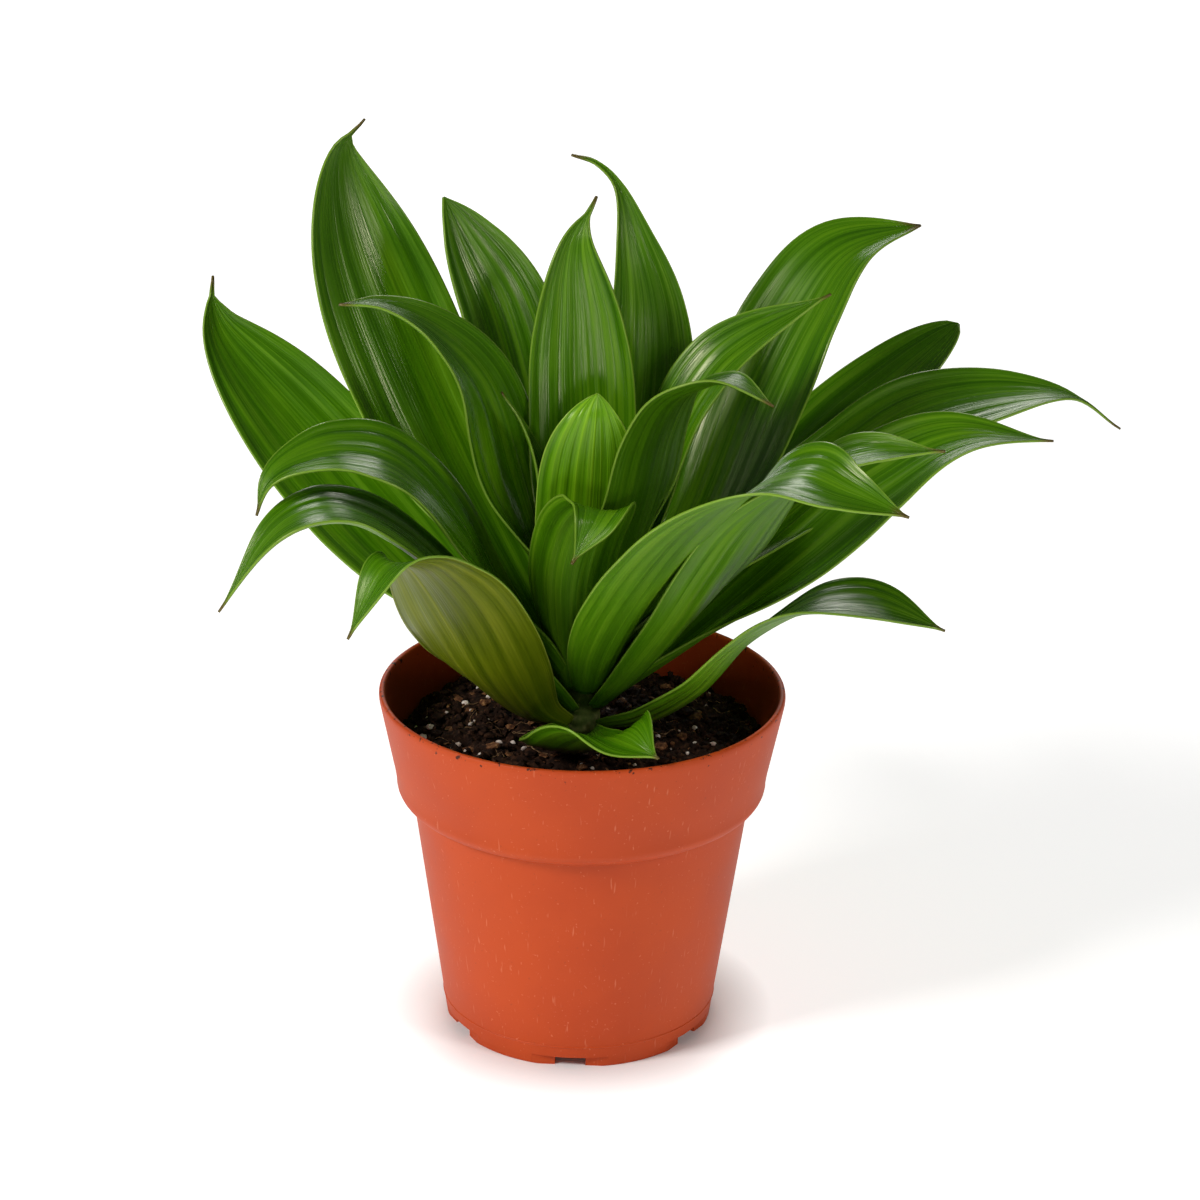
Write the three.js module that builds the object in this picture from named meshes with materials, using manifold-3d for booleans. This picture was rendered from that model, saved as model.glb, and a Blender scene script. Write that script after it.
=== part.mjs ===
// A compact dracaena growing in a plastic nursery pot: pot, potting mix, cane, leaves and perlite grains.
// Millimetres, +Z up. -Y is the plant's front and +X is its right side.
// The pieces are placed about the pot's upright axis, and the whole group is then moved so that its
// origin lies below the middle of the plant's spread, on the surface that the pot stands on.
import * as THREE from "three";
import { mergeVertices } from "three/addons/utils/BufferGeometryUtils.js";
import Module from "manifold-3d";

const wasm = await Module();
wasm.setup();

// ---- Driving dimensions -------------------------------------------------------------------------

const gap = 0.3; // clearance between pieces that touch

const potHeight = 96;
const rimRadius = 55; // a nominal 11 cm pot
const baseRadius = 36.6;
const wall = 1.4;
const lipWidth = 2;
const footHeight = 3; // the floor is raised by this much
const footWidth = 2.8;
const floorThickness = 1.5;
const bandBottom = 65.3; // the collar starts here
const bandStep = 76.8; // and is straight above here
const bandStepRadius = 51.2;
const bodyTopRadius = 45.8;
const potSides = 48;

const notchCount = 6;
const notchAngle = -93; // of the first notch, in degrees
const notchWidth = 20.6;
const notchDepth = 1.2; // of the shallow recess on the outside of the foot
const slotWidth = 8.3; // the open slot in the middle of each recess
const drainReach = 9; // radial length of each drain hole in the floor

const soilEdge = 81.5; // height of the potting mix at the wall
const soilTop = 84.5; // and at the cane

const caneRadius = 5;
const caneTop = 114;
const caneBottom = 66;

const leafThickness = 0.8;
const leafAlong = 10; // segments from base to tip
const leafAcross = 4;
const tipWidth = 1.2;
const tipFlare = 0.8; // how fast the thin tip widens, as a share of the leaf's width over its length
const baseShare = 0.36; // width at the base as a share of the widest width
const baseCurl = 75; // how far each half of the blade turns up where it clasps the cane, in degrees
const leafClearance = 0.35;

const grainSize = 2.6;

// ---- Small helpers ------------------------------------------------------------------------------

const radians = THREE.MathUtils.degToRad;
const up = new THREE.Vector3(0, 0, 1);
const polar = (radius, degrees, z) =>
  new THREE.Vector3(radius, 0, z).applyAxisAngle(up, radians(degrees));

// A closed geometry as a solid that can be joined and cut.
function solidOf(geometry) {
  const bare = geometry.clone();
  bare.deleteAttribute("normal");
  bare.deleteAttribute("uv");
  const merged = mergeVertices(bare, 1e-3);
  return new wasm.Manifold(
    new wasm.Mesh({
      numProp: 3,
      vertProperties: merged.attributes.position.array,
      triVerts: new Uint32Array(merged.index.array),
    }),
  );
}

// The geometry of a solid that was joined or cut.
function geometryOf(solid) {
  const mesh = solid.getMesh();
  const geometry = new THREE.BufferGeometry();
  geometry.setAttribute("position", new THREE.BufferAttribute(mesh.vertProperties, 3));
  geometry.setIndex(new THREE.BufferAttribute(mesh.triVerts, 1));
  return geometry;
}

// A profile of radius and height, turned about the upright axis.
function turned(profile, sides = potSides) {
  return new THREE.LatheGeometry(profile, sides).rotateX(Math.PI / 2);
}

// ---- Pot ----------------------------------------------------------------------------------------

const bodySlope = (bodyTopRadius - baseRadius) / bandBottom;
const bandSlope = (rimRadius - 0.3 - bandStepRadius) / (potHeight - 2 - bandStep);

// The inside of the wall, from the middle of the floor up to height top, set in by inset.
function insidePath(path, top, inset) {
  const floor = footHeight + floorThickness + inset;
  const bodyIn = (z) => baseRadius + bodySlope * z - wall - inset;
  const bandIn = (z) => bandStepRadius + bandSlope * (z - bandStep) - wall - inset;
  path.lineTo(bodyIn(floor), floor);
  path.lineTo(bodyIn(bandBottom - 1), bandBottom - 1);
  path.lineTo(bandIn(bandStep) - 1, bandStep - 4);
  path.lineTo(bandIn(bandStep + 1), bandStep + 1);
  path.lineTo(bandIn(top), top);
}

function potProfile() {
  const outside = new THREE.Path();
  outside.moveTo(0, footHeight);
  outside.lineTo(baseRadius - footWidth, footHeight);
  outside.lineTo(baseRadius - footWidth, 0);
  outside.lineTo(baseRadius, 0);
  outside.lineTo(bodyTopRadius, bandBottom);
  outside.quadraticCurveTo(bandStepRadius - 1.2, bandBottom + 2.4, bandStepRadius, bandStep);
  outside.lineTo(rimRadius - 0.3, potHeight - 2);
  outside.quadraticCurveTo(rimRadius, potHeight, rimRadius - lipWidth / 2, potHeight);
  outside.quadraticCurveTo(rimRadius - lipWidth, potHeight, rimRadius - lipWidth, potHeight - 1.5);
  const inside = new THREE.Path();
  inside.moveTo(0, footHeight + floorThickness);
  insidePath(inside, potHeight - 4, 0);
  return [...outside.getPoints(4), ...inside.getPoints(1).reverse()];
}

// One foot recess with its open slot, and the drain hole in the floor behind it.
function footCuts(degrees) {
  const place = (geometry, radius, z) =>
    geometry.translate(radius, 0, z).applyMatrix4(new THREE.Matrix4().makeRotationZ(radians(degrees)));
  const recess = new THREE.BoxGeometry(8, notchWidth, 2 * footHeight);
  const slot = new THREE.BoxGeometry(footWidth + 8, slotWidth, 2 * footHeight);
  const drain = new THREE.BoxGeometry(drainReach, slotWidth, 8);
  return [
    place(recess, baseRadius - notchDepth + 4, 0),
    place(slot, baseRadius - footWidth / 2, 0),
    place(drain, baseRadius - footWidth - 1 - drainReach / 2, footHeight),
  ];
}

function potGeometry() {
  let pot = solidOf(turned(potProfile()));
  for (let i = 0; i < notchCount; i++) {
    for (const cut of footCuts(notchAngle + (i * 360) / notchCount)) {
      pot = pot.subtract(solidOf(cut));
    }
  }
  return geometryOf(pot);
}

// ---- Cane and potting mix -----------------------------------------------------------------------

function caneGeometry(grow = 0) {
  const side = new THREE.Path();
  side.moveTo(0, caneBottom - grow);
  side.lineTo(caneRadius + grow, caneBottom - grow);
  side.lineTo(caneRadius + grow, caneTop - 12);
  side.quadraticCurveTo(caneRadius - 1 + grow, caneTop + grow, 0, caneTop + grow);
  return turned(side.getPoints(3), 12);
}

// Height of the potting mix at a radius: gently mounded towards the cane.
function soilHeight(radius) {
  const share = radius / (bandStepRadius - wall);
  return soilTop - (soilTop - soilEdge) * share * share;
}

function soilGeometry(grains) {
  const profile = new THREE.Path();
  profile.moveTo(0, footHeight + floorThickness + gap);
  insidePath(profile, soilEdge, gap);
  for (const radius of [40, 28, 14, 0]) {
    profile.lineTo(radius, soilHeight(radius));
  }
  let soil = solidOf(turned(profile.getPoints(1))).subtract(solidOf(caneGeometry(gap)));
  for (const grain of grains) {
    soil = soil.subtract(solidOf(grainGeometry(grain, gap)));
  }
  return geometryOf(soil);
}

// ---- Perlite grains -----------------------------------------------------------------------------

// Distance from the axis, direction in degrees, and size against grainSize.
const grainTable = [
  { name: "perlite_left", radius: 43, angle: 186, scale: 0.9 },
  { name: "perlite_left_upper", radius: 41, angle: 178, scale: 1 },
  { name: "perlite_front_left", radius: 40, angle: 212, scale: 1 },
  { name: "perlite_front_large", radius: 46, angle: 223, scale: 1.3 },
  { name: "perlite_front_small", radius: 38, angle: 228, scale: 0.8 },
  { name: "perlite_right", radius: 42, angle: 338, scale: 0.8 },
];

function grainGeometry(grain, grow) {
  const radius = (grainSize * grain.scale) / 2;
  const centre = polar(grain.radius, grain.angle, soilHeight(grain.radius) + radius * 0.3);
  const shape = new THREE.IcosahedronGeometry(radius + grow, 0);
  return shape.scale(1.15, 0.95, 0.85).rotateZ(radians(grain.angle)).translate(centre.x, centre.y, centre.z);
}

// ---- Leaves -------------------------------------------------------------------------------------

// rib: points of the midrib from base to tip. lean: the direction in which the leaf leaves the cane, in
// degrees from +X. roll: how far the blade is turned about its rib at base, middle and tip, in degrees.
// wide: widest width. peak: where along the leaf it is widest. curl: how far each half turns up at the
// middle and at the tip, in degrees. taper: how gently it narrows, 1.6 unless it says otherwise; a lower
// number keeps it broad for longer. end: where the blade ends and a thin drip tip begins, if it has one.
const leafTable = [
  {
    name: "leaf_left_far",
    rib: [
      [-6, 3, 92], [-31, 18, 108], [-58, 34, 132], [-81, 50, 153], [-99, 62, 171], [-104, 66, 181],
      [-104, 68, 189],
    ],
    lean: 147, roll: [0, -28, -30], wide: 37, peak: 0.5, curl: [18, 40], taper: 1, end: 0.97,
  },
  {
    name: "leaf_back_left_tall",
    rib: [
      [-5, 5, 101], [-17, 16, 117], [-38, 30, 151], [-56, 44, 187], [-65, 53, 211], [-67, 59, 228],
      [-61, 61, 236],
    ],
    lean: 136, roll: [0, -15, -10], wide: 40, peak: 0.55, curl: [18, 40], taper: 1, end: 0.97,
  },
  {
    name: "leaf_back_left_inner",
    rib: [
      [-3, 6, 105], [-8, 19, 125], [-15, 27, 163], [-23, 34, 191], [-33, 39, 210], [-39, 42, 220],
    ],
    lean: 120, roll: [0, 0, 0], wide: 30, peak: 0.55, curl: [18, 30], taper: 0.9,
  },
  {
    name: "leaf_left_arching_high",
    rib: [
      [-6, 0, 105], [-10, 2, 123], [-20, 2, 154], [-28, -2, 181], [-40, -8, 198], [-52, -12, 206],
      [-63, -16, 208],
    ],
    lean: 190, roll: [0, -45, 0], wide: 28, peak: 0.4, curl: [18, 30], taper: 1.1,
  },
  {
    name: "leaf_left_small",
    rib: [
      [-5, -1, 111], [-9, -1, 137], [-12, -2, 158], [-17, -3, 172], [-22, -4, 181],
    ],
    lean: 190, roll: [0, -30, 0], wide: 12, peak: 0.45, curl: [18, 30],
  },
  {
    name: "leaf_centre_upright",
    rib: [
      [0, 6, 112], [-1, 8, 135], [-1, 10, 166], [-2, 14, 192], [-3, 18, 214], [2, 24, 226],
    ],
    lean: 90, roll: [0, 0, 0], wide: 29, peak: 0.45, curl: [18, 40], taper: 1.3, end: 0.97,
  },
  {
    name: "leaf_back_twisted",
    rib: [
      [4, 5, 105], [11, 16, 136], [16, 25, 170], [16, 30, 193], [12, 36, 211], [8, 42, 223],
      [2, 45, 229], [-5, 46, 231],
    ],
    lean: 80, roll: [0, 0, 40], wide: 26, peak: 0.38, curl: [18, 40], taper: 2.6,
  },
  {
    name: "leaf_centre_bright",
    rib: [
      [0, -5, 113], [0, -8, 136], [1, -10, 162], [2, -10, 175], [3, -7, 182],
    ],
    lean: -90, roll: [0, 0, 0], wide: 27, peak: 0.5, curl: [14, 10], taper: 0.8,
  },
  {
    name: "leaf_centre_right",
    rib: [
      [6, -4, 107], [11, -10, 137], [16, -17, 159], [19, -22, 175], [23, -28, 187], [29, -33, 193],
      [37, -38, 196], [47, -44, 192],
    ],
    lean: -45, roll: [0, 0, 0], wide: 26, peak: 0.45, curl: [18, 30], taper: 1.3,
  },
  {
    name: "leaf_right_narrow",
    rib: [
      [6, 3, 107], [14, 5, 133], [22, 7, 163], [31, 10, 181], [42, 13, 191], [64, 18, 202],
    ],
    lean: 10, roll: [0, 20, 30], wide: 22, peak: 0.5, curl: [18, 30], taper: 1.6,
  },
  {
    name: "leaf_front_folded",
    rib: [
      [-3, -6, 98], [-4, -9, 113], [-4, -14, 132], [-1, -20, 147], [4, -27, 157], [3, -34, 157],
      [-3, -39, 147],
    ],
    lean: -95, roll: [0, 0, 0], wide: 25, peak: 0.5, curl: [40, 30],
  },
  {
    name: "leaf_front_right_large",
    rib: [
      [4, -5, 97], [8, -17, 113], [16, -29, 133], [26, -42, 154], [38, -55, 171], [52, -66, 181],
      [64, -73, 180], [79, -78, 176],
    ],
    lean: -45, roll: [0, 0, 25], wide: 40, peak: 0.45, curl: [18, 30], taper: 1.3,
  },
  {
    name: "leaf_right_rising",
    rib: [
      [6, -3, 92], [15, -10, 104], [27, -16, 122], [36, -21, 138], [46, -26, 155], [59, -30, 169],
      [73, -33, 176], [91, -36, 178],
    ],
    lean: -23, roll: [0, -20, 25], wide: 32, peak: 0.5, curl: [18, 30],
  },
  {
    name: "leaf_right_tall",
    rib: [
      [4, 5, 105], [18, 14, 120], [33, 26, 134], [47, 40, 166], [58, 50, 186], [70, 58, 201],
      [91, 66, 207],
    ],
    lean: 38, roll: [0, 8, 8], wide: 35, peak: 0.55, curl: [18, 40], taper: 1,
  },
  {
    name: "leaf_right_back",
    rib: [
      [5, 4, 101], [20, 20, 112], [38, 37, 122], [67, 60, 147], [87, 71, 162], [104, 78, 175],
    ],
    lean: 35, roll: [0, 15, 15], wide: 28, peak: 0.55, curl: [18, 20], taper: 0.6,
  },
  {
    name: "leaf_right_far",
    rib: [
      [6, 2, 97], [22, 10, 111], [40, 20, 126], [68, 36, 144], [95, 48, 159], [131, 58, 161],
      [149, 62, 150],
    ],
    lean: 22, roll: [0, 20, 10], wide: 30, peak: 0.55, curl: [18, 30], taper: 1.2, end: 0.93,
  },
  {
    name: "leaf_right_middle",
    rib: [
      [6, 0, 92], [20, 5, 101], [34, 9, 112], [58, 15, 132], [79, 20, 149], [100, 23, 160],
      [126, 26, 159],
    ],
    lean: 12, roll: [0, 20, 10], wide: 34, peak: 0.5, curl: [18, 30],
  },
  {
    name: "leaf_right_low",
    rib: [
      [6, -5, 86], [18, -13, 92], [31, -18, 103], [42, -20, 117], [55, -22, 127], [66, -24, 131],
      [78, -26, 131], [94, -29, 126],
    ],
    lean: -18, roll: [-25, -10, 20], wide: 24, peak: 0.6, curl: [18, 30],
  },
  {
    name: "leaf_front_small",
    rib: [
      [0, -7, 85], [-2, -21, 87], [0, -33, 93], [9, -43, 101], [20, -52, 99],
    ],
    lean: -80, roll: [0, 0, 15], wide: 32, peak: 0.5, curl: [22, 30],
  },
  {
    name: "leaf_left_arching_middle",
    rib: [
      [-6, -1, 97], [-19, -9, 119], [-33, -17, 147], [-47, -24, 166], [-61, -29, 172],
      [-73, -33, 171], [-80, -36, 167], [-83, -39, 159],
    ],
    lean: 205, roll: [0, -25, -10], wide: 32, peak: 0.5, curl: [18, 30],
  },
  {
    name: "leaf_left_arching_low",
    rib: [
      [-5, -4, 91], [-17, -14, 107], [-29, -22, 128], [-41, -29, 145], [-53, -35, 156],
      [-65, -41, 161], [-78, -46, 156], [-92, -50, 137],
    ],
    lean: 210, roll: [0, -15, 15], wide: 30, peak: 0.45, curl: [18, 30],
  },
  {
    name: "leaf_front_left",
    rib: [
      [-6, -7, 87], [-15, -14, 94], [-23, -24, 109], [-30, -34, 127], [-37, -43, 142],
      [-43, -49, 150], [-50, -53, 149], [-59, -57, 133],
    ],
    lean: 225, roll: [15, 35, 0], wide: 33, peak: 0.4, curl: [18, 30],
  },
  {
    name: "leaf_back_left",
    rib: [
      [-2, 6, 92], [-17, 48, 109], [-30, 84, 119], [-40, 110, 119],
    ],
    lean: 107, roll: [0, 0, 0], wide: 34, peak: 0.5, curl: [18, 30],
  },
  {
    name: "leaf_back_low_left",
    rib: [
      [-4, 5, 88], [-26, 38, 100], [-46, 68, 102], [-60, 92, 92],
    ],
    lean: 124, roll: [0, 0, 0], wide: 30, peak: 0.5, curl: [18, 30],
  },
  {
    name: "leaf_back_centre",
    rib: [
      [1, 7, 90], [4, 42, 114], [6, 78, 132], [7, 108, 136],
    ],
    lean: 85, roll: [0, 0, 0], wide: 34, peak: 0.5, curl: [18, 30],
  },
  {
    name: "leaf_back_low_right",
    rib: [
      [3, 6, 90], [24, 46, 108], [42, 80, 114], [54, 104, 106],
    ],
    lean: 62, roll: [0, 0, 0], wide: 32, peak: 0.5, curl: [18, 30],
  },
  {
    name: "leaf_back_upright",
    rib: [
      [1, 6, 98], [2, 30, 132], [4, 54, 153], [5, 74, 158],
    ],
    lean: 87, roll: [0, 0, 0], wide: 24, peak: 0.5, curl: [18, 30],
  },
];

const mix = THREE.MathUtils.lerp;
const ease = (x) => THREE.MathUtils.smoothstep(x, 0, 1);

// A value that runs from first to middle to last along the leaf.
function along(t, first, middle, last) {
  return t < 0.5 ? mix(first, middle, ease(t * 2)) : mix(middle, last, ease(t * 2 - 1));
}

// Widens to the leaf's widest place, then narrows to a thin tip.
function leafWidth(leaf, t) {
  if (t < leaf.peak) {
    return leaf.wide * (baseShare + (1 - baseShare) * Math.sin(((Math.PI / 2) * t) / leaf.peak));
  }
  const share = Math.min(1, (t - leaf.peak) / ((leaf.end ?? 1) - leaf.peak));
  const falling = (1 - share ** 3) ** (leaf.taper ?? 1.6);
  return Math.max(tipWidth + tipFlare * leaf.wide * (1 - t), leaf.wide * falling);
}

// The point at t along the leaf, u across it from -1 to 1, and lift above the middle of its thickness.
// Each edge reaches further out by grow.
function leafPoint(leaf, curve, t, u, lift, grow) {
  const tangent = curve.getTangentAt(t);
  const outward = polar(1, leaf.lean, 0);
  const right = outward.clone().cross(up);
  right.addScaledVector(tangent, -right.dot(tangent)).normalize();
  right.applyAxisAngle(tangent, radians(along(t, ...leaf.roll)));
  const normal = right.clone().cross(tangent);
  const turn = radians(along(t, baseCurl, leaf.curl[0], leaf.curl[1]));
  const arc = (leafWidth(leaf, t) / 2 + grow) / turn;
  const swing = turn * u;
  const point = curve.getPointAt(t);
  point.addScaledVector(right, (arc - lift) * Math.sin(swing));
  point.addScaledVector(normal, arc - (arc - lift) * Math.cos(swing));
  return point;
}

// The blade is a thin slab, divided along and across, with each of its points moved on to the leaf.
function leafGeometry(leaf, grow = 0) {
  const points = leaf.rib.map((point) => new THREE.Vector3(...point));
  const curve = new THREE.CatmullRomCurve3(points, false, "catmullrom", 0.5);
  const slab = new THREE.BoxGeometry(2, 1, leafThickness + 2 * grow, leafAcross, leafAlong, 1);
  const position = slab.attributes.position;
  for (let i = 0; i < position.count; i++) {
    const t = position.getY(i) + 0.5;
    const point = leafPoint(leaf, curve, t, position.getX(i), position.getZ(i), grow);
    position.setXYZ(i, point.x, point.y, point.z);
  }
  return slab;
}

// A leaf cut back wherever it would touch the pieces before it, which happens only where the leaves
// crowd round the cane. The blade is what stays whole.
function trimmedLeaf(leaf, taken) {
  let blade = solidOf(leafGeometry(leaf));
  for (const other of taken) {
    blade = blade.subtract(other);
  }
  const parts = blade.decompose();
  return geometryOf(parts.reduce((a, b) => (a.volume() > b.volume() ? a : b)));
}

// ---- Assembly -----------------------------------------------------------------------------------

const finishes = {
  terracottaPlastic: { color: 0xc05a34, roughness: 0.6, metalness: 0 },
  pottingMix: { color: 0x2e2019, roughness: 0.95, metalness: 0 },
  cane: { color: 0x6b7a3a, roughness: 0.7, metalness: 0 },
  leaf: { color: 0x2f6b1f, roughness: 0.4, metalness: 0 },
  perlite: { color: 0xd8cfc2, roughness: 0.9, metalness: 0 },
};

const plant = new THREE.Group();
plant.name = "potted_dracaena";

function addPiece(name, geometry, finish) {
  const mesh = new THREE.Mesh(geometry, new THREE.MeshStandardMaterial(finishes[finish]));
  mesh.name = name;
  plant.add(mesh);
}

addPiece("nursery_pot", potGeometry(), "terracottaPlastic");
addPiece("potting_mix", soilGeometry(grainTable), "pottingMix");
addPiece("cane", caneGeometry(), "cane");
const taken = [solidOf(caneGeometry(leafClearance))];
for (const leaf of leafTable) {
  addPiece(leaf.name, trimmedLeaf(leaf, taken), "leaf");
  taken.push(solidOf(leafGeometry(leaf, leafClearance)));
}
for (const grain of grainTable) {
  addPiece(grain.name, grainGeometry(grain, 0), "perlite");
}

const middle = new THREE.Box3().setFromObject(plant).getCenter(new THREE.Vector3());
plant.position.set(-middle.x, -middle.y, 0);

export default plant;
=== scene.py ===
# %% [markdown]
# # A compact dracaena in a plastic nursery pot
#
# The plant is a rosette of broad, waxy strap leaves on a short cane. It grows in dark potting mix, in
# a moulded terracotta-coloured pot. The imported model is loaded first. It fixes where every piece is and
# how big it is, so each visual piece below takes its place from a box of that model.

# %% Load the fixed frame
import bisect
import math
import random

import bmesh
import bpy
from mathutils import Matrix, Quaternion, Vector, noise
from mathutils.geometry import interpolate_bezier


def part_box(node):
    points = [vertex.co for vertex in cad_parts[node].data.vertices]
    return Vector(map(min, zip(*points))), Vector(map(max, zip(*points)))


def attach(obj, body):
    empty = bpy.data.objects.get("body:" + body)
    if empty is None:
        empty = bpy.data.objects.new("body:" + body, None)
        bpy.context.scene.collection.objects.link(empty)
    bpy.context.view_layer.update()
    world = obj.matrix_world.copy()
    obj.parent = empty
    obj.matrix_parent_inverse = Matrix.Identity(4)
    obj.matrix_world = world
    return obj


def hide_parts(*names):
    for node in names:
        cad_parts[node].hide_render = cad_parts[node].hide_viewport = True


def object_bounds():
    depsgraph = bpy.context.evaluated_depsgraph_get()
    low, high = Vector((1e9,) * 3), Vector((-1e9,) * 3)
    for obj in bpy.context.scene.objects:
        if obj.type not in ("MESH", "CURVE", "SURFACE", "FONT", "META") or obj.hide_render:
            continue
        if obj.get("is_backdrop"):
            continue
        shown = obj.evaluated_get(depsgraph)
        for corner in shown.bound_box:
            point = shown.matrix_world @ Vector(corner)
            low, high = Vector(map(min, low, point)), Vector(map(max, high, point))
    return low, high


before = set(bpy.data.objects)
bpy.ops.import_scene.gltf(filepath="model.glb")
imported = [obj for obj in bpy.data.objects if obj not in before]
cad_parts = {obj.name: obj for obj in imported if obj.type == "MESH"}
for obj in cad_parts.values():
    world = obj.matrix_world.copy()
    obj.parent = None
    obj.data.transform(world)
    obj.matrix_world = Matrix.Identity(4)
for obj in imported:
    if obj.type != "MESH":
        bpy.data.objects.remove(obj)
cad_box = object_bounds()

MM = 0.001
pot_low, pot_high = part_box("nursery_pot")
AXIS = Vector(((pot_low.x + pot_high.x) / 2, (pot_low.y + pot_high.y) / 2, 0))
print("pot axis at", [round(value / MM, 2) for value in AXIS], "mm")

# %% [markdown]
# ## The camera
#
# The plant is seen from a little above, from about a metre away, with a long lens so that the pot hardly
# tapers. The camera is made first, because everything after it is judged through it. It could be aimed
# with a constraint, but a plain location and rotation keep it simple to move round the plant later.

# %% Camera
LOOK_DOWN = math.radians(22.2)
ROLL = math.radians(0.83)
DISTANCE = 1.0
AIM = AXIS + Vector((4.4, 0, 121.4)) * MM
SENSOR_WIDTH = 36
LENS = 112.4

camera_data = bpy.data.cameras.new("camera")
camera_data.sensor_width = SENSOR_WIDTH
camera_data.lens = LENS
camera = bpy.data.objects.new("camera", camera_data)
bpy.context.collection.objects.link(camera)
back = Vector((0, -math.cos(LOOK_DOWN), math.sin(LOOK_DOWN)))
turned_up = Matrix.Rotation(math.pi / 2 - LOOK_DOWN, 4, "X")
camera.matrix_world = Matrix.Translation(AIM + back * DISTANCE) @ turned_up @ Matrix.Rotation(ROLL, 4, "Z")
bpy.context.scene.camera = camera
print("camera at", [round(value, 3) for value in camera.location])

# %% [markdown]
# ## Light and floor
#
# A plant like this is lit by soft boxes on a white table. The strongest box stands high on the left, and
# gives the bright left side of the pot. Wax shows only where it mirrors a light, so a small box in front
# and another high on the right draw the pale streaks on the upright leaves. A wide one behind the plant
# shines straight down and keeps the table white. The table is pale and plain, and it belongs to the
# stage, not to the plant.

# %% Colours, floor and light
def linear(hex_colour):
    """An sRGB hex colour as the linear colour that a shader socket takes."""
    shares = [int(hex_colour[i : i + 2], 16) / 255 for i in (1, 3, 5)]
    return (*[s / 12.92 if s <= 0.04045 else ((s + 0.055) / 1.055) ** 2.4 for s in shares], 1)


def new_material(name):
    """An empty node material and its Principled shader."""
    material = bpy.data.materials.new(name)
    material.use_nodes = True
    return material, material.node_tree.nodes["Principled BSDF"]


def add_node(material, kind, inputs=None, stops=None, **settings):
    """Adds a shader node. Its inputs take a value or another node's output; stops colour a ramp."""
    node = material.node_tree.nodes.new("ShaderNode" + kind)
    for name, value in settings.items():
        setattr(node, name, value)
    for place, value in (inputs or {}).items():
        join(material, value, node.inputs[place])
    for i, (position, colour) in enumerate(stops or []):
        stop = node.color_ramp.elements[i] if i < 2 else node.color_ramp.elements.new(position)
        stop.position, stop.color = position, colour
    return node


def join(material, value, socket):
    """Links an output to a socket, or sets the socket's own value."""
    if isinstance(value, bpy.types.NodeSocket):
        material.node_tree.links.new(value, socket)
    else:
        socket.default_value = value


def grey(value):
    return (value, value, value, 1)


def layered(material, mask, below, hex_colour):
    """A colour laid over what is below it, where the mask node is bright."""
    return add_node(material, "Mix", {0: mask.outputs[0], 6: below, 7: linear(hex_colour)}, data_type="RGBA")


def soft_box(name, place, size, power, straight_down=False):
    """A large square light at a place about the pot's axis, aimed at the plant or at the floor."""
    light = bpy.data.lights.new(name, "AREA")
    light.shape = "SQUARE"
    light.size = size
    light.energy = power
    lamp = bpy.data.objects.new(name, light)
    bpy.context.collection.objects.link(lamp)
    lamp.location = AXIS + Vector(place)
    towards = Vector((0, 0, -1)) if straight_down else AIM - lamp.location
    lamp.rotation_euler = towards.to_track_quat("-Z", "Y").to_euler()


FLOOR_SIDE = 8
FOOT_SHADE = 36 * MM
GLOW_START = 54 * MM
GLOW = 0.54

bm = bmesh.new()
bmesh.ops.create_grid(bm, x_segments=1, y_segments=1, size=FLOOR_SIDE / 2)
floor_mesh = bpy.data.meshes.new("floor")
bm.to_mesh(floor_mesh)
bm.free()
floor = bpy.data.objects.new("floor", floor_mesh)
bpy.context.collection.objects.link(floor)
table_paint, shader = new_material("white_table_paint")
uneven = add_node(table_paint, "TexNoise", {"Scale": 3.0})
paint_tones = [(0.3, linear("#f6f5f3")), (0.7, linear("#fbfaf8"))]
tone = add_node(table_paint, "ValToRGB", {0: uneven.outputs[0]}, paint_tones)
join(table_paint, tone.outputs[0], shader.inputs["Base Color"])
shader.inputs["Roughness"].default_value = 0.9
shader.inputs["Emission Color"].default_value = linear("#ffffff")
# The table glows a little, so that it stays white. Under the pot's foot the glow is held back, which paints
# a soft contact shadow there.
on_table = add_node(table_paint, "TexCoord").outputs["Object"]
offset = add_node(table_paint, "VectorMath", {0: on_table, 1: AXIS}, operation="SUBTRACT")
away = add_node(table_paint, "VectorMath", {0: offset.outputs[0]}, operation="LENGTH").outputs["Value"]
glow = add_node(table_paint, "MapRange", {0: away, 1: FOOT_SHADE, 2: GLOW_START, 3: 0.0, 4: GLOW})
join(table_paint, glow.outputs[0], shader.inputs["Emission Strength"])
floor_mesh.materials.append(table_paint)
floor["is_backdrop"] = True

soft_box("key_box", (-1.25, -0.75, 1.15), 0.45, 21)
soft_box("front_box", (0.0, -1.4, 0.22), 0.22, 2.2)
soft_box("streak_box", (0.94, -0.7, 0.95), 0.26, 4.2)
soft_box("floor_box", (0, 2.5, 1.3), 1.5, 45, straight_down=True)
world = bpy.data.worlds.new("studio")
world.use_nodes = True
world.node_tree.nodes["Background"].inputs["Color"].default_value = linear("#ffffff")
world.node_tree.nodes["Background"].inputs["Strength"].default_value = 0.08
bpy.context.scene.world = world
bpy.context.scene.view_settings.view_transform = "Standard"

# %% [markdown]
# ## Making a piece
#
# Every piece is built the same way at the end: its bmesh becomes a mesh, the object stays at the origin,
# it rides on the plant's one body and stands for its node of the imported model. One function does this,
# so that no step is forgotten.

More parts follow.
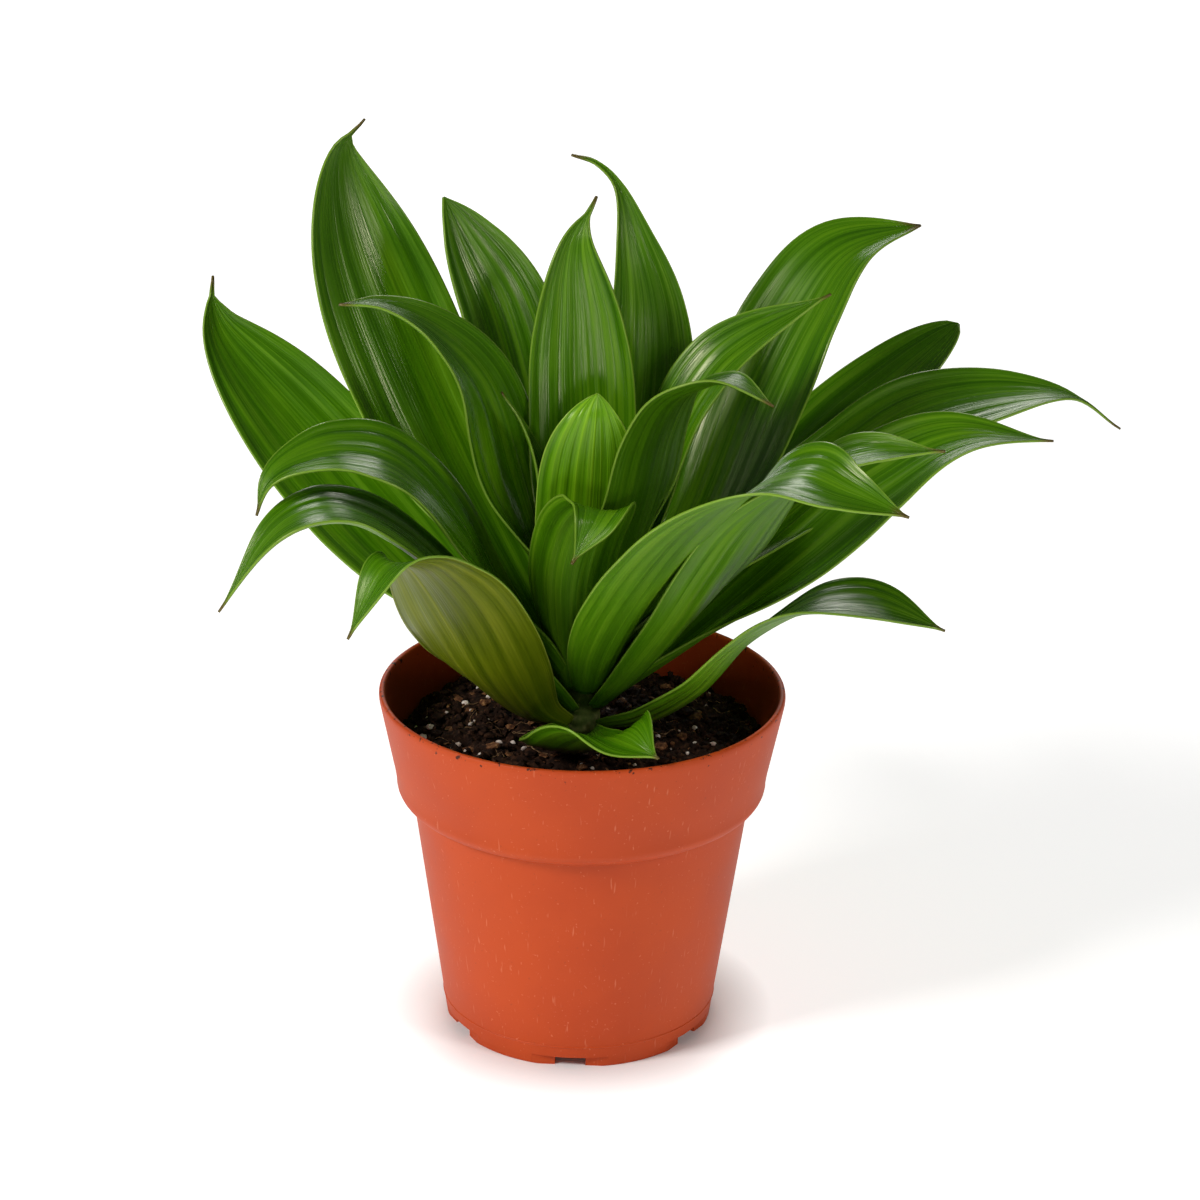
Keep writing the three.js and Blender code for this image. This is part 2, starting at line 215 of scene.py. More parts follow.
# %% Finish a piece
def finish_piece(bm, name, nodes, materials, smooth_below=40):
    """Turns a bmesh, in metres about the pot's axis, into a piece that stands for CAD nodes."""
    bmesh.ops.translate(bm, verts=bm.verts, vec=AXIS)
    mesh = bpy.data.meshes.new(name)
    bm.to_mesh(mesh)
    bm.free()
    mesh.shade_smooth()
    mesh.set_sharp_from_angle(angle=math.radians(smooth_below))
    for material in materials:
        mesh.materials.append(material)
    piece = bpy.data.objects.new(name, mesh)
    bpy.context.collection.objects.link(piece)
    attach(piece, "root")
    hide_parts(*nodes)
    return piece


def spun(profile, steps):
    """A profile of radius and height in mm, turned about the upright axis into a closed skin."""
    bm = bmesh.new()
    verts = [bm.verts.new((radius * MM, 0, height * MM)) for radius, height in profile]
    edges = [bm.edges.new(pair) for pair in zip(verts, verts[1:])]
    turn = dict(cent=(0, 0, 0), axis=(0, 0, 1), angle=2 * math.pi, steps=steps, use_merge=True)
    bmesh.ops.spin(bm, geom=verts + edges, **turn)
    bmesh.ops.remove_doubles(bm, verts=bm.verts, dist=0.01 * MM)
    bmesh.ops.recalc_face_normals(bm, faces=bm.faces)
    return bm


def rounded(corner, before, after, reach, steps=4):
    """Points of a smooth turn at a corner of a profile, starting and ending reach mm away from it."""
    corner, before, after = Vector(corner), Vector(before), Vector(after)
    start = corner + (before - corner).normalized() * reach
    end = corner + (after - corner).normalized() * reach
    return [tuple(p) for p in interpolate_bezier(start, corner, corner, end, steps + 1)]


# %% [markdown]
# ## The nursery pot
#
# The real pot is one thin injection moulding: a tapered body, a wider collar that stiffens it, and a
# rounded lip. A boxy shape could be bent round, but a pot is turned by nature, so its profile is spun.
# A faint ridge near the foot is where the two halves of the mould met. The foot ring has six recesses,
# each with an open slot, which are cut with a boolean so that they stay crisp.

# %% Pot profile
POT_HEIGHT = 96
RIM_RADIUS = 55
BASE_RADIUS = 36.6
BODY_TOP_RADIUS = 45.8
BAND_BOTTOM = 65.3
BAND_STEP = 76.8
BAND_STEP_RADIUS = 51.2
WALL = 1.4
FOOT_HEIGHT = 3
FOOT_WIDTH = 2.8
FLOOR_THICKNESS = 1.5
PARTING_HEIGHT = 6.3
PARTING_RIDGE = 0.18
LIP_DROP = 2
LIP_SWELL = 0.3
body_slope = (BODY_TOP_RADIUS - BASE_RADIUS) / BAND_BOTTOM
band_slope = (RIM_RADIUS - LIP_SWELL - BAND_STEP_RADIUS) / (POT_HEIGHT - LIP_DROP - BAND_STEP)


def body_radius(z):
    return BASE_RADIUS + body_slope * z


def band_radius(z):
    return BAND_STEP_RADIUS + band_slope * (z - BAND_STEP)


def curve_points(start, control, end, steps):
    """Points of a curve with one control point, without its start."""
    start, control, end = Vector(start), Vector(control), Vector(end)
    shares = [i / steps for i in range(1, steps + 1)]
    return [tuple(start * (1 - s) ** 2 + control * (2 * s * (1 - s)) + end * s * s) for s in shares]


outside = [(0, FOOT_HEIGHT), (BASE_RADIUS - FOOT_WIDTH, FOOT_HEIGHT), (BASE_RADIUS - FOOT_WIDTH, 0)]
outside += rounded((BASE_RADIUS, 0), (0, 0), (body_radius(9), 9), 0.5)
for height, ridge in [(-0.3, 0), (-0.1, PARTING_RIDGE), (0.1, PARTING_RIDGE), (0.3, 0)]:
    outside.append((body_radius(PARTING_HEIGHT + height) + ridge, PARTING_HEIGHT + height))
outside += [(body_radius(z), z) for z in range(12, 65, 4)]
outside.append((body_radius(BAND_BOTTOM), BAND_BOTTOM))
# The collar juts out in a rounded shelf, and then rises nearly straight.
outside += curve_points(outside[-1], (50.4, BAND_BOTTOM + 1.6), (50.1, BAND_BOTTOM + 5), 8)
outside += curve_points(outside[-1], (50.5, BAND_STEP - 3), (BAND_STEP_RADIUS, BAND_STEP), 4)
outside += [(band_radius(z), z) for z in (81, 85, 89, 92)]
outside.append((RIM_RADIUS - LIP_SWELL, POT_HEIGHT - LIP_DROP))
outside += curve_points(outside[-1], (RIM_RADIUS, POT_HEIGHT), (RIM_RADIUS - 1, POT_HEIGHT), 6)
outside += curve_points(outside[-1], (RIM_RADIUS - 2, POT_HEIGHT), (RIM_RADIUS - 2, POT_HEIGHT - 1.5), 6)
inside = [(band_radius(92) - WALL, 92), (band_radius(85) - WALL, 85), (band_radius(78) - WALL, 78)]
inside += [(band_radius(BAND_STEP) - WALL - 1, BAND_STEP - 4), (body_radius(64) - WALL, 64)]
inside += [(body_radius(40) - WALL, 40), (body_radius(20) - WALL, 20)]
inside += [(body_radius(4.5) - WALL, FOOT_HEIGHT + FLOOR_THICKNESS), (0, FOOT_HEIGHT + FLOOR_THICKNESS)]
pot_profile = outside + inside
print("pot profile:", len(pot_profile), "points")

# %% Cut the foot recesses and drain holes
POT_STEPS = 180
NOTCH_COUNT = 6
FIRST_NOTCH = math.radians(-93)
NOTCH_WIDTH = 20.6
NOTCH_DEPTH = 1.2
SLOT_WIDTH = 8.3
DRAIN_REACH = 9
BLOCK_REACH = 8


def cut_block(bm, size, radius, z, angle):
    """Adds a block of a size in mm, centred at a radius and height and turned to an angle."""
    made = bmesh.ops.create_cube(bm, size=1)["verts"]
    bmesh.ops.scale(bm, verts=made, vec=Vector(size) * MM)
    bmesh.ops.translate(bm, verts=made, vec=Vector((radius, 0, z)) * MM)
    bmesh.ops.rotate(bm, verts=made, cent=(0, 0, 0), matrix=Matrix.Rotation(angle, 3, "Z"))


cutter = bmesh.new()
for i in range(NOTCH_COUNT):
    angle = FIRST_NOTCH + i * 2 * math.pi / NOTCH_COUNT
    notch = (BLOCK_REACH, NOTCH_WIDTH, 2 * FOOT_HEIGHT)
    cut_block(cutter, notch, BASE_RADIUS - NOTCH_DEPTH + BLOCK_REACH / 2, 0, angle)
    slot = (FOOT_WIDTH + BLOCK_REACH, SLOT_WIDTH, 2 * FOOT_HEIGHT)
    cut_block(cutter, slot, BASE_RADIUS - FOOT_WIDTH / 2, 0, angle)
    drain = (DRAIN_REACH, SLOT_WIDTH, BLOCK_REACH)
    cut_block(cutter, drain, BASE_RADIUS - FOOT_WIDTH - 1 - DRAIN_REACH / 2, FOOT_HEIGHT, angle)
cutter_mesh = bpy.data.meshes.new("foot_cutter")
cutter.to_mesh(cutter_mesh)
cutter.free()
cutter_object = bpy.data.objects.new("foot_cutter", cutter_mesh)
raw_mesh = bpy.data.meshes.new("raw_pot")
raw = spun(pot_profile, POT_STEPS)
raw.to_mesh(raw_mesh)
raw.free()
raw_pot = bpy.data.objects.new("raw_pot", raw_mesh)
for part in (cutter_object, raw_pot):
    bpy.context.collection.objects.link(part)
cut = raw_pot.modifiers.new("foot", "BOOLEAN")
cut.object = cutter_object
cut.operation = "DIFFERENCE"
cut.solver = "EXACT"
cut.use_self = True
depsgraph = bpy.context.evaluated_depsgraph_get()
pot_bm = bmesh.new()
pot_bm.from_mesh(bpy.data.meshes.new_from_object(raw_pot.evaluated_get(depsgraph)))
for part in (cutter_object, raw_pot):
    bpy.data.objects.remove(part)
print("cut pot:", len(pot_bm.faces), "faces")

# %% [markdown]
# ### Moulded polypropylene
#
# The plastic is coloured through and comes from a finely blasted mould, so it is nearly matt with a soft
# sheen. Mixed pigment leaves tiny pale and dark specks, handling leaves faint pale scuffs, and a few
# crumbs of mix stick near the lip. Painting all this by hand would tie it to one view; noise read from
# the object's own coordinates goes right round the pot.

# %% Material: polypropylene
polypropylene, shader = new_material("moulded_polypropylene_terracotta")
place = add_node(polypropylene, "TexCoord").outputs["Object"]
cloud = add_node(polypropylene, "TexNoise", {"Vector": place, "Scale": 1 / (30 * MM), "Detail": 4.0})
plastic_tones = [(0.35, linear("#b44011")), (0.65, linear("#bd4716"))]
base = add_node(polypropylene, "ValToRGB", {0: cloud.outputs[0]}, plastic_tones)
# Pigment specks, pale and dark, a little under 1 mm across.
pigment = add_node(polypropylene, "TexNoise", {"Vector": place, "Scale": 1 / (0.9 * MM), "Detail": 2.0})
pale_stops = [(0.68, grey(0)), (0.76, grey(0.35))]
dark_stops = [(0.24, grey(0.5)), (0.31, grey(0))]
pale_specks = add_node(polypropylene, "ValToRGB", {0: pigment.outputs[0]}, pale_stops)
dark_specks = add_node(polypropylene, "ValToRGB", {0: pigment.outputs[0]}, dark_stops)
speckled = layered(polypropylene, pale_specks, base.outputs[0], "#dd8862")
darkened = layered(polypropylene, dark_specks, speckled.outputs[2], "#9a3d1c")
# Scuffs: short upright pale marks, under 1 mm wide and up to 9 mm long, in patches.
scuff_scale = (1 / 0.9, 1 / 0.9, 1 / 9)
scuff_place = add_node(polypropylene, "Mapping", {"Vector": place, "Scale": scuff_scale}).outputs[0]
scuff = add_node(polypropylene, "TexNoise", {"Vector": scuff_place, "Scale": 1 / MM, "Detail": 1.0})
scuff_stops = [(0.7, grey(0)), (0.8, grey(0.25))]
scuff_marks = add_node(polypropylene, "ValToRGB", {0: scuff.outputs[0]}, scuff_stops)
scuffed = layered(polypropylene, scuff_marks, darkened.outputs[2], "#e39a76")
# Dirt: specks of mix, 1 to 2 mm across, only on the top 9 mm.
height = add_node(polypropylene, "SeparateXYZ", {0: place}).outputs[2]
lip_zone = {0: height, 1: (POT_HEIGHT - 9) * MM, 2: POT_HEIGHT * MM, 3: 0.0, 4: 0.22}
near_lip = add_node(polypropylene, "MapRange", lip_zone).outputs[0]
clumps = add_node(polypropylene, "TexNoise", {"Vector": place, "Scale": 1 / (1.6 * MM), "Detail": 3.0})
dirt_sum = add_node(polypropylene, "Math", {0: clumps.outputs[0], 1: near_lip}, operation="ADD")
dirt_stops = [(0.83, grey(0)), (0.87, grey(0.9))]
dirt = add_node(polypropylene, "ValToRGB", {0: dirt_sum.outputs[0]}, dirt_stops)
dirty = layered(polypropylene, dirt, scuffed.outputs[2], "#2b170d")
join(polypropylene, dirty.outputs[2], shader.inputs["Base Color"])
rough = add_node(polypropylene, "MapRange", {0: cloud.outputs[0], 1: 0.3, 2: 0.7, 3: 0.5, 4: 0.6})
join(polypropylene, rough.outputs[0], shader.inputs["Roughness"])
shader.inputs["IOR"].default_value = 1.49
shader.inputs["Specular IOR Level"].default_value = 0.25
# The blasted mould leaves a grain of about 0.3 mm and a few hundredths deep.
grain = add_node(polypropylene, "TexNoise", {"Vector": place, "Scale": 1 / (0.35 * MM), "Detail": 2.0})
bump = add_node(polypropylene, "Bump", {"Height": grain.outputs[0], "Distance": 0.02 * MM, "Strength": 1.0})
join(polypropylene, bump.outputs[0], shader.inputs["Normal"])

pot = finish_piece(pot_bm, "pot", ["nursery_pot"], [polypropylene], smooth_below=32)
print("pot:", len(pot.data.polygons), "faces")

# %% [markdown]
# ## The potting mix
#
# Potting mix is peat with bark crumbs, root fibres and perlite. A flat dark disc would look like paint,
# so the surface is a spun disc that noise lifts and sinks, and a few hundred crumbs, splinters and fibres
# are strewn on it. They are few-sided on purpose, because there are so many. All of it is one body of mix,
# so it is one piece with four finishes.

# %% Potting mix surface
SOIL_EDGE = 81.5
SOIL_TOP = 84.5
SOIL_RADIUS = BAND_STEP_RADIUS - WALL
GAP = 0.3
LUMP_DEPTH = 2.2
FINE_DEPTH = 1.3
CANE_HOLE = 5.3
SOCKET_BOTTOM = 66
MIX_BOTTOM = 4.8
MIX_LEVEL = 81
RING_COUNT = 90


def soil_height(x, y):
    """Height of the mix at a place about the axis, in mm, with its lumps."""
    radius = math.hypot(x, y)
    mound = SOIL_TOP - (SOIL_TOP - SOIL_EDGE) * (radius / SOIL_RADIUS) ** 2
    lumps = noise.fractal(Vector((x, y, 3)) / 8, 1, 2, 5)
    fine = noise.turbulence(Vector((x, y, 40)) / 2.4, 3, False)
    return mound + LUMP_DEPTH * lumps + FINE_DEPTH * (fine - 0.5)


def soil_limit(z):
    """The inside of the pot's wall at a height, less the clearance."""
    inner = body_radius(z) if z < BAND_BOTTOM else band_radius(max(z, BAND_STEP)) - 1
    return inner - WALL - GAP


top_rings = [SOIL_RADIUS * i / RING_COUNT for i in range(RING_COUNT, 8, -1)]
soil_profile = [(0, MIX_BOTTOM), (soil_limit(MIX_BOTTOM), MIX_BOTTOM)]
soil_profile += [(soil_limit(30), 30), (soil_limit(60), 60), (soil_limit(70) - 1.5, 72)]
soil_profile += [(soil_limit(78), 78), (soil_limit(80), 80)]
soil_profile += [(radius, MIX_LEVEL) for radius in top_rings]
soil_profile += [(CANE_HOLE, MIX_LEVEL), (CANE_HOLE, SOCKET_BOTTOM), (0, SOCKET_BOTTOM - 0.3)]
soil = spun(soil_profile, 260)
for vert in soil.verts:
    if vert.co.z > (MIX_LEVEL - 0.5) * MM:
        vert.co.z = soil_height(vert.co.x / MM, vert.co.y / MM) * MM
print("mix surface:", len(soil.faces), "faces")

# %% Crumbs, bark and fibres
random.seed(4)
PEAT, BARK, FIBRE, GRIT = range(4)
PEAT_CRUMBS = 1300
BARK_CHIPS = 220
GRIT_GRAINS = 110
ROOT_FIBRES = 60
FIBRE_STEP = 1.2
FIBRE_REACH = 48


def strewn_place(reach=48.5):
    """A random place on the mix, in mm, clear of the cane."""
    radius = math.sqrt(random.uniform((CANE_HOLE + 1) ** 2, reach**2))
    angle = random.uniform(0, 2 * math.pi)
    x, y = radius * math.cos(angle), radius * math.sin(angle)
    return x, y, soil_height(x, y)


def strew(bm, small, finish):
    """Adds a small bmesh to a large one, with its own finish, and frees it."""
    for face in small.faces:
        face.material_index = finish
    mesh = bpy.data.meshes.new("strewn")
    small.to_mesh(mesh)
    small.free()
    bm.from_mesh(mesh)
    bpy.data.meshes.remove(mesh)


def add_crumb(bm, size, flat, finish, subdivisions=1):
    """A rough lump, size mm across and squashed by flat, half sunk in the mix."""
    small = bmesh.new()
    made = bmesh.ops.create_icosphere(small, subdivisions=subdivisions, radius=size / 2 * MM)["verts"]
    seed = Vector([random.uniform(0, 50) for _ in range(3)])
    for vert in made:
        vert.co *= 1 + 0.45 * noise.noise(vert.co / MM / size * 1.6 + seed)
    bmesh.ops.scale(small, verts=made, vec=(random.uniform(0.7, 1.5), random.uniform(0.6, 1.1), flat))
    spin = Matrix.Rotation(random.uniform(0, 6.3), 3, "Z")
    tilt = Matrix.Rotation(random.uniform(-0.5, 0.5), 3, "X")
    bmesh.ops.rotate(small, verts=made, cent=(0, 0, 0), matrix=spin @ tilt)
    x, y, z = strewn_place()
    bmesh.ops.translate(small, verts=made, vec=Vector((x, y, z + size * flat * 0.2)) * MM)
    strew(bm, small, finish)


def add_fibre(bm, length, width):
    """A thin root, length mm long, that curves over the mix."""
    x, y, z = strewn_place(44)
    heading = random.uniform(0, 2 * math.pi)
    small = bmesh.new()
    ring = bmesh.ops.create_circle(small, segments=5, radius=width / 2 * MM)["verts"]
    bmesh.ops.rotate(small, verts=ring, cent=(0, 0, 0), matrix=Matrix.Rotation(math.pi / 2, 3, "Y"))
    bmesh.ops.rotate(small, verts=ring, cent=(0, 0, 0), matrix=Matrix.Rotation(heading, 3, "Z"))
    bmesh.ops.translate(small, verts=ring, vec=Vector((x, y, z + width * 0.6)) * MM)
    edges = small.edges[:]
    bmesh.ops.contextual_create(small, geom=edges)
    for _ in range(int(length / FIBRE_STEP)):
        heading += random.uniform(-0.45, 0.45)
        x, y = x + FIBRE_STEP * math.cos(heading), y + FIBRE_STEP * math.sin(heading)
        if math.hypot(x, y) > FIBRE_REACH:
            break
        step = Vector((x, y, soil_height(x, y) + width * 0.6 + random.uniform(0, 0.5))) * MM
        grown = bmesh.ops.extrude_edge_only(small, edges=edges)["geom"]
        ring = [item for item in grown if isinstance(item, bmesh.types.BMVert)]
        edges = [item for item in grown if isinstance(item, bmesh.types.BMEdge) and item.is_boundary]
        centre = sum((vert.co for vert in ring), Vector()) / len(ring)
        bmesh.ops.translate(small, verts=ring, vec=step - centre)
    bmesh.ops.contextual_create(small, geom=edges)
    bmesh.ops.recalc_face_normals(small, faces=small.faces)
    strew(bm, small, FIBRE)


for _ in range(PEAT_CRUMBS):
    add_crumb(soil, random.uniform(0.7, 3.2), random.uniform(0.5, 0.9), PEAT)
for _ in range(BARK_CHIPS):
    add_crumb(soil, random.uniform(1.0, 4.5), random.uniform(0.25, 0.5), BARK)
for _ in range(GRIT_GRAINS):
    add_crumb(soil, random.uniform(0.6, 1.7), 0.8, GRIT, 2)
for _ in range(ROOT_FIBRES):
    add_fibre(soil, random.uniform(4, 14), random.uniform(0.16, 0.4))
print("mix with crumbs:", len(soil.faces), "faces")

# %% [markdown]
# ### Peat, bark, root fibre and perlite
#
# Damp peat is almost black and drinks the light. Bark is dull reddish brown, root fibre is straw-coloured,
# and perlite is a puffed white mineral, dusted pink-brown by the peat. Each gets its own noise-based
# colour and a bump at the size of its own grain.

# %% Materials: mix and perlite
def earthy(name, dark, mid, pale, grain_mm, roughness, depth_mm):
    """A rough natural stuff in three tones, mottled at grain_mm."""
    material, shader = new_material(name)
    place = add_node(material, "TexCoord").outputs["Object"]
    mottle = add_node(material, "TexNoise", {"Vector": place, "Scale": 1 / (grain_mm * MM), "Detail": 5.0})
    stops = [(0.3, linear(dark)), (0.7, linear(pale)), (0.52, linear(mid))]
    tone = add_node(material, "ValToRGB", {0: mottle.outputs[0]}, stops)
    join(material, tone.outputs[0], shader.inputs["Base Color"])
    bump = add_node(material, "Bump", {"Height": mottle.outputs[0], "Distance": depth_mm * MM})
    join(material, bump.outputs[0], shader.inputs["Normal"])
    shader.inputs["Roughness"].default_value = roughness
    shader.inputs["Specular IOR Level"].default_value = 0.15
    return material


peat = earthy("damp_peat", "#140a05", "#26150b", "#4a3020", 1.5, 0.9, 0.4)
bark = earthy("composted_bark", "#3a2012", "#684228", "#9a7048", 1.0, 0.85, 0.2)
fibre = earthy("root_fibre", "#4a3422", "#7d5f42", "#a88a66", 1.0, 0.8, 0.1)
perlite = earthy("perlite", "#b09484", "#dccbbd", "#f6eee6", 0.8, 0.9, 0.2)

mix_finishes = [peat, bark, fibre, perlite]
mix = finish_piece(soil, "mix", ["potting_mix"], mix_finishes, smooth_below=25)
print("mix:", len(mix.data.polygons), "faces")

# %% [markdown]
# ## The perlite grains
#
# Six grains are big enough to tell apart. A grain is a crushed bubble of glass, so each is an icosphere
# pushed in and out by coarse and fine noise, put in the box of its own node.

# %% Perlite grains
def perlite_grain(node, seed):
    """One displaced grain that fills its node's box."""
    low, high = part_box(node)
    centre, size = (low + high) / 2, high - low
    bm = bmesh.new()
    made = bmesh.ops.create_icosphere(bm, subdivisions=4, radius=0.5)["verts"]
    for vert in made:
        coarse = noise.noise(vert.co * 2.6 + Vector((seed, 0, 0)))
        fine = noise.noise(vert.co * 9 + Vector((0, seed, 0)))
        vert.co *= 0.96 + 0.22 * coarse + 0.06 * fine
    bmesh.ops.scale(bm, verts=made, vec=size)
    bmesh.ops.translate(bm, verts=made, vec=centre - AXIS)
    return finish_piece(bm, node.replace("perlite", "grain"), [node], [perlite])


grain_nodes = sorted(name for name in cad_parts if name.startswith("perlite"))
grains = [perlite_grain(node, 7 * i) for i, node in enumerate(grain_nodes)]
print("grains:", [grain.name for grain in grains])

# %% [markdown]
# ## The cane
#
# The cane is the short woody stem. Every fallen leaf leaves a ring on it, so its spun profile swells and
# pinches every few millimetres. Leaf bases clasp it and hide nearly all of it.

# %% Cane
CANE_RADIUS = 5
CANE_BOTTOM = 66
CANE_TOP = 114
RING_SPACING = 3.2
RING_SWELL = 0.28
CANE_STEP = 0.5
BUD_LENGTH = 12

cane_profile = [(0, CANE_BOTTOM), (CANE_RADIUS - 0.4, CANE_BOTTOM)]
for i in range(1, 84):
    z = CANE_BOTTOM + i * CANE_STEP
    swell = RING_SWELL * abs(math.sin(math.pi * z / RING_SPACING))
    taper = 1 - max(0, (z - CANE_TOP + BUD_LENGTH) / BUD_LENGTH) ** 2 * 0.5
    cane_profile.append(((CANE_RADIUS - 0.35 + swell) * taper, z))
cane_profile += [(1.8, CANE_TOP - 1), (0, CANE_TOP - 0.2)]
cane_bm = spun(cane_profile, 40)
# Young cane bark is still green, with straw-coloured scars, and duller than the leaves.
green_cane = earthy("green_cane_bark", "#4c5a26", "#68743a", "#93925c", 2.5, 0.7, 0.15)
stem = finish_piece(cane_bm, "stem", ["cane"], [green_cane])
print("stem:", len(stem.data.polygons), "faces")

# %% [markdown]
# ## The leaves
#
# Each leaf is one strap: it clasps the cane as a gutter, widens, and ends in a narrow, often twisted tip.
# It could be sculpted leaf by leaf, but a rosette repeats one law of growth. So a leaf is a flat grid
# whose rows ride along a smooth rib and whose columns bend round an arc. The leaf's own numbers are only
# its rib, the side it leans to, its width, and how it rolls and curls.

# %% The law of growth
TIP_WIDTH = 0.5
TIP_FLARE = 0.8
BASE_SHARE = 0.36
BASE_CURL = 75
ROWS = 84
COLUMNS = 36
MIN_STEP = 0.5
UP = Vector((0, 0, 1))
leaves = {}


def leaf(name, rib, lean, wide, roll=(0, 0, 0), peak=0.5, curl=(18, 30), taper=1.6, end=1):
    """Notes one leaf: rib in mm about the axis, lean, roll and curl in degrees, widest width in mm.

    Lean is the side of the cane that the leaf leans to. Peak is how far along it is widest, taper how fast
    it narrows after that, and end how far along the blade gives way to the drip tip.
    """
    points = [Vector(point) for point in rib]
    leaves[name] = dict(
        points=points, lean=lean, wide=wide, roll=roll, peak=peak, curl=curl, taper=taper, end=end
    )


def ease(x):
    return x * x * (3 - 2 * x)


def along(t, first, middle, last):
    """A value that runs from first to middle to last along the leaf."""
    if t < 0.5:
        return first + (middle - first) * ease(2 * t)
    return middle + (last - middle) * ease(2 * t - 1)


def leaf_width(shape, t):
    """Widens to the leaf's widest place, then narrows to a thin tip."""
    peak = shape["peak"]
    if t < peak:
        return shape["wide"] * (BASE_SHARE + (1 - BASE_SHARE) * math.sin(math.pi / 2 * t / peak))
    share = min(1, (t - peak) / (shape["end"] - peak))
    falling = (1 - share**3) ** shape["taper"]
    return max(TIP_WIDTH + TIP_FLARE * shape["wide"] * (1 - t), shape["wide"] * falling)


def smooth_line(points, steps=60):
    """A smooth line through points, as closely spaced points with their distances from the start."""
    ends = [2 * points[0] - points[1], *points, 2 * points[-1] - points[-2]]
    line = []
    for a, b, c, d in zip(ends, ends[1:], ends[2:], ends[3:]):
        line += interpolate_bezier(b, b + (c - a) / 6, c - (d - b) / 6, c, steps)[:-1]
    line.append(points[-1])
    reach = [0]
    for a, b in zip(line, line[1:]):
        reach.append(reach[-1] + (b - a).length)
    return line, reach


def at_distance(line, reach, distance):
    """The point at a distance along a line."""
    distance = min(max(distance, 0), reach[-1])
    i = min(max(bisect.bisect_left(reach, distance), 1), len(line) - 1)
    share = (distance - reach[i - 1]) / (reach[i] - reach[i - 1])
    return line[i - 1].lerp(line[i], share)


def row_frames(shape):
    """For each row of the grid: its place on the rib, the way across, the upper side, and its distance."""
    line, reach = smooth_line(shape["points"])
    lean = math.radians(shape["lean"])
    outward = Vector((math.cos(lean), math.sin(lean), 0))
    frames = []
    for row in range(ROWS + 1):
        t = row / ROWS
        distance = t * reach[-1]
        ahead = at_distance(line, reach, distance + MIN_STEP)
        tangent = (ahead - at_distance(line, reach, distance - MIN_STEP)).normalized()
        right = outward.cross(UP)
        right = (right - tangent * right.dot(tangent)).normalized()
        right.rotate(Quaternion(tangent, math.radians(along(t, *shape["roll"]))))
        frames.append((at_distance(line, reach, distance), right, right.cross(tangent), distance))
    return frames


# %% [markdown]
# ### Pleats, midrib and waved margin
#
# A dracaena leaf isn't smooth. Its veins run lengthwise and lie in shallow pleats, the midrib is a fine
# groove, and the margins wave a little because they grew faster than the middle. These are real relief
# that breaks the light into long streaks, so they are moved into the mesh, not only painted. The
# thickness comes last, from a Solidify modifier, which also gives the underside its own finish.

# %% From a flat grid to a leaf
LEAF_THICKNESS = 0.6
PLEATS = 6.5
PLEAT_DEPTH = 0.17
MIDRIB_DEPTH = 0.35
MIDRIB_SHARE = 0.05
WAVE_DEPTH = 1.1
WAVE_LENGTH = 24
SWAY_DEPTH = 1.2
SWAY_LENGTH = 55
UV_HALF_WIDTH = 15
UV_LEAF_STEP = 400


def relief(u, t, distance, width, seed):
    """How far a point of the blade stands above the plain arc, in mm."""
    fade = math.sin(math.pi * min(1, max(0, t))) ** 0.6 * min(1, width / 20)
    pleat = math.cos(math.pi * PLEATS * u + 2 * noise.noise(Vector((u * 2, distance / 60, seed))))
    midrib = math.exp(-((u / MIDRIB_SHARE) ** 2))
    side = 5 if u > 0 else -5
    wave = noise.noise(Vector((distance / WAVE_LENGTH, side, seed))) * abs(u) ** 3
    sway = noise.noise(Vector((distance / SWAY_LENGTH, u, seed + 30)))
    veins = PLEAT_DEPTH * pleat * (1 - midrib) - MIDRIB_DEPTH * midrib
    return fade * (veins + WAVE_DEPTH * wave + SWAY_DEPTH * sway)


def grow(name, shape, seed, finishes, painted_light, dry_tip=1.0):
    """Builds one leaf as a piece that stands for its node. A dry_tip under 1 keeps its tip green."""
    frames = row_frames(shape)
    bm = bmesh.new()
    bmesh.ops.create_grid(bm, x_segments=COLUMNS, y_segments=ROWS, size=1)
    uv_layer = bm.loops.layers.uv.new("blade")
    edge_layer = bm.verts.layers.float.new("edge_mm")
    along_layer = bm.verts.layers.float.new("along")
    painted_light_layer = bm.verts.layers.float.new("painted_light")
    shares = {}
    for vert in bm.verts:
        u = (vert.co.x + math.sin(math.pi / 2 * vert.co.x)) / 2
        row = round((vert.co.y + 1) / 2 * ROWS)
        t = row / ROWS
        place, right, normal, distance = frames[row]
        width = leaf_width(shape, t)
        turn = math.radians(along(t, BASE_CURL, *shape["curl"]))
        arc = width / 2 / turn
        lift = relief(u, t, distance, width, seed)
        swing = turn * u
        bend = arc - lift
        point = place + right * bend * math.sin(swing) + normal * (arc - bend * math.cos(swing))
        vert.co = point * MM
        vert[edge_layer] = (1 - abs(u)) * width / 2
        vert[along_layer] = t * dry_tip
        # Painted light and shade: each leaf carries one brightness factor that lightens or darkens its green
        # for how the lamps fall on it.
        vert[painted_light_layer] = painted_light
        shares[vert] = (u * UV_HALF_WIDTH * MM, (distance + UV_LEAF_STEP * seed) * MM)
    for face in bm.faces:
        for loop in face.loops:
            loop[uv_layer].uv = shares[loop.vert]
    piece = finish_piece(bm, name.replace("leaf", "blade"), [name], finishes, smooth_below=180)
    skin = piece.modifiers.new("thickness", "SOLIDIFY")
    skin.thickness = LEAF_THICKNESS * MM
    skin.offset = 0
    skin.material_offset = 1


